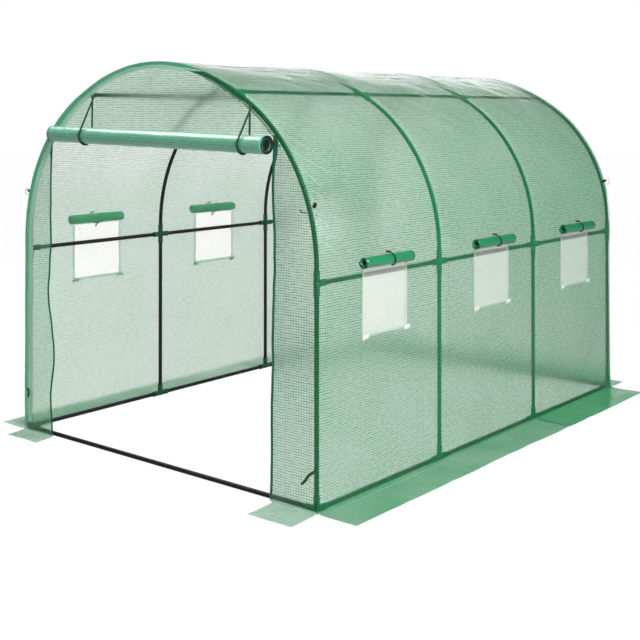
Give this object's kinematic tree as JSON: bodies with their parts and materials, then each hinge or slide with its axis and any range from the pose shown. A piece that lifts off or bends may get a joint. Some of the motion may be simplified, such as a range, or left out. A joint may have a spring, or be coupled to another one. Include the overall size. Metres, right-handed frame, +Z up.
{
  "type": "polytunnel greenhouse",
  "caption": "Walk-in polytunnel greenhouse with bent tube hoops, a translucent green sheet cover, a rolled-up front door, screened side windows and ground flaps.",
  "frame": {"origin": "on the ground in the middle of the tunnel's footprint, flaps included", "axes": "+Z up, the door end faces -Y, +Y runs along the tunnel to the closed end, +X is to the right of somebody looking along +Y"},
  "size_m": [2.5252, 3.3252, 2.0047],
  "materials": {
    "coated_steel": "dark green powder coat on thin steel tube",
    "socket_plastic": "moulded dark green plastic",
    "cover_sheet": "translucent green sheet with a woven net inside, slightly glossy",
    "insect_net": "fine pale net",
    "white_hem": "pale sewn tape",
    "green_tape": "dark green woven tape",
    "zip_tape": "dark green zip tape with plastic teeth",
    "black_plastic": "black moulded toggles and cord"
  },
  "bodies": {
    "root": {"front_hoop": "coated_steel", "second_hoop": "coated_steel", "third_hoop": "coated_steel", "rear_hoop": "coated_steel", "base_sockets": "socket_plastic", "side_rail_sockets": "socket_plastic", "purlin_sockets": "socket_plastic", "left_base_rail": "coated_steel", "right_base_rail": "coated_steel", "front_base_rail": "coated_steel", "rear_base_rail": "coated_steel", "left_side_rail": "coated_steel", "right_side_rail": "coated_steel", "left_purlin": "coated_steel", "right_purlin": "coated_steel", "left_wall_cover": "cover_sheet", "left_lower_roof_cover": "cover_sheet", "left_upper_roof_cover": "cover_sheet", "left_crown_cover": "cover_sheet", "right_crown_cover": "cover_sheet", "right_upper_roof_cover": "cover_sheet", "right_lower_roof_cover": "cover_sheet", "right_wall_cover": "cover_sheet", "front_gable": "cover_sheet", "front_left_panel": "cover_sheet", "front_right_panel": "cover_sheet", "rear_wall": "cover_sheet", "left_ground_flap": "cover_sheet", "right_ground_flap": "cover_sheet", "front_ground_flaps": "cover_sheet", "rear_ground_flap": "cover_sheet", "door_roll": "cover_sheet", "door_ties": "green_tape", "door_zips": "zip_tape", "left_window_screens": "insect_net", "right_window_screens": "insect_net", "left_window_hems": "white_hem", "right_window_hems": "white_hem", "left_window_rolls": "cover_sheet", "right_window_rolls": "cover_sheet", "left_window_ties": "black_plastic", "right_window_ties": "black_plastic", "end_toggles": "black_plastic"}
  },
  "joints": []
}
